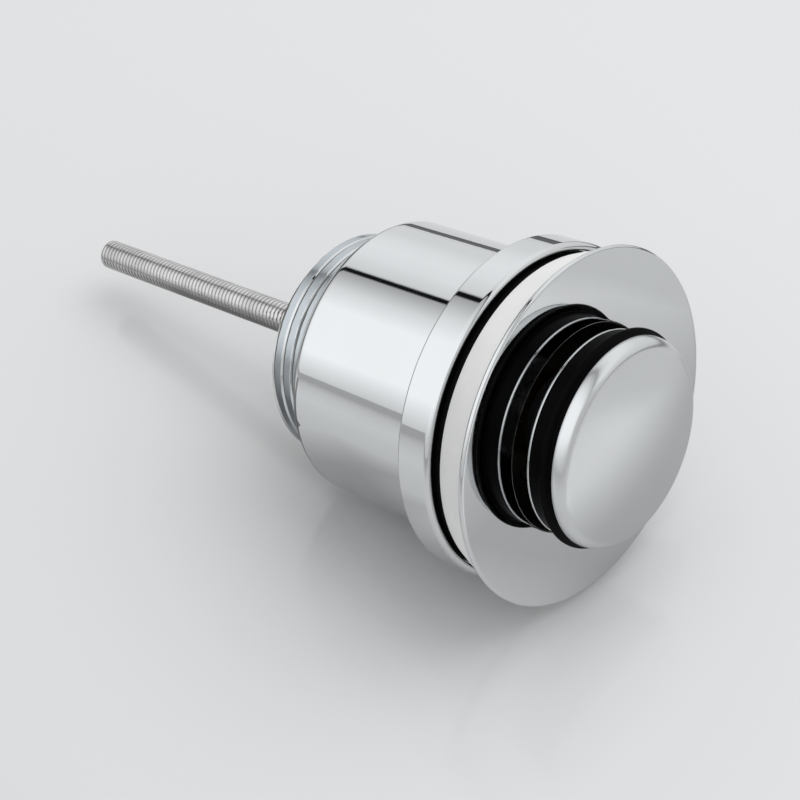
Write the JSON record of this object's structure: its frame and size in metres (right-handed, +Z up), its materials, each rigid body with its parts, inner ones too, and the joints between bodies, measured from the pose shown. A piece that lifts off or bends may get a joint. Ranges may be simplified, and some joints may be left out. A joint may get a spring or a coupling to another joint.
{
  "type": "pop up basin waste",
  "caption": "Round chrome basin waste with a pop up plug, dished flange, tapered gasket, screw-on lower body with a threaded outlet and a long threaded clamp rod.",
  "frame": {"origin": "on the waste's axis, in the plane where a basin is clamped between the flange gasket and the body gasket", "axes": "+X along the waste's axis towards the plug, +Z up with the waste lying on its side, as in the picture"},
  "size_m": [0.1386, 0.063, 0.063],
  "materials": {
    "chrome": "polished chrome plate",
    "white_rubber": "matte white moulded rubber",
    "black_rubber": "smooth black moulded rubber",
    "black_plastic": "smooth black moulded plastic",
    "brass": "turned brass",
    "acetal": "natural moulded plastic",
    "steel": "rolled thread, dull grey",
    "spring_steel": "drawn wire"
  },
  "bodies": {
    "upper_body": {"flange": "chrome", "flange_gasket": "white_rubber", "cartridge_sleeve": "brass", "cartridge_bush": "black_plastic", "stem_o_ring": "black_rubber", "cam_sleeve": "acetal", "cartridge_base": "brass", "cartridge_nut": "brass", "return_spring": "spring_steel", "clamp_rod": "steel", "rod_lock_nut": "steel"},
    "plug": {"plug_cap": "chrome", "plug_seal": "black_rubber", "plug_carrier": "chrome", "plug_stem": "steel", "plunger": "acetal", "stem_clip": "spring_steel"},
    "rotor": {"rotor": "acetal"},
    "gasket": {"body_gasket": "black_rubber"},
    "lower_body": {"lower_body": "chrome", "clamp_nut": "steel"}
  },
  "joints": [
    {"name": "plug_slide", "type": "slide", "parent": "upper_body", "child": "plug", "axis": [1, 0, 0], "range_m": [-0.0058, 0], "stiffness_N_per_m": 400, "springref_m": 0.008, "deforming": ["return_spring"]},
    {"name": "rotor_index", "type": "hinge", "parent": "plug", "child": "rotor", "pos_m": [0, 0, 0], "axis": [1, 0, 0], "range_deg": [0, 45]},
    {"name": "body_climb", "type": "slide", "parent": "upper_body", "child": "gasket", "axis": [1, 0, 0], "range_m": [-0.05, 0]},
    {"name": "body_turn", "type": "hinge", "parent": "gasket", "child": "lower_body", "pos_m": [0, 0, 0], "axis": [1, 0, 0], "range_deg": [-18000, 0]}
  ],
  "couplings": [
    {"joint": "rotor_index", "follows": "plug_slide", "rad_per_m": -135.41},
    {"joint": "body_climb", "follows": "body_turn", "m_per_rad": 0.00015915}
  ]
}
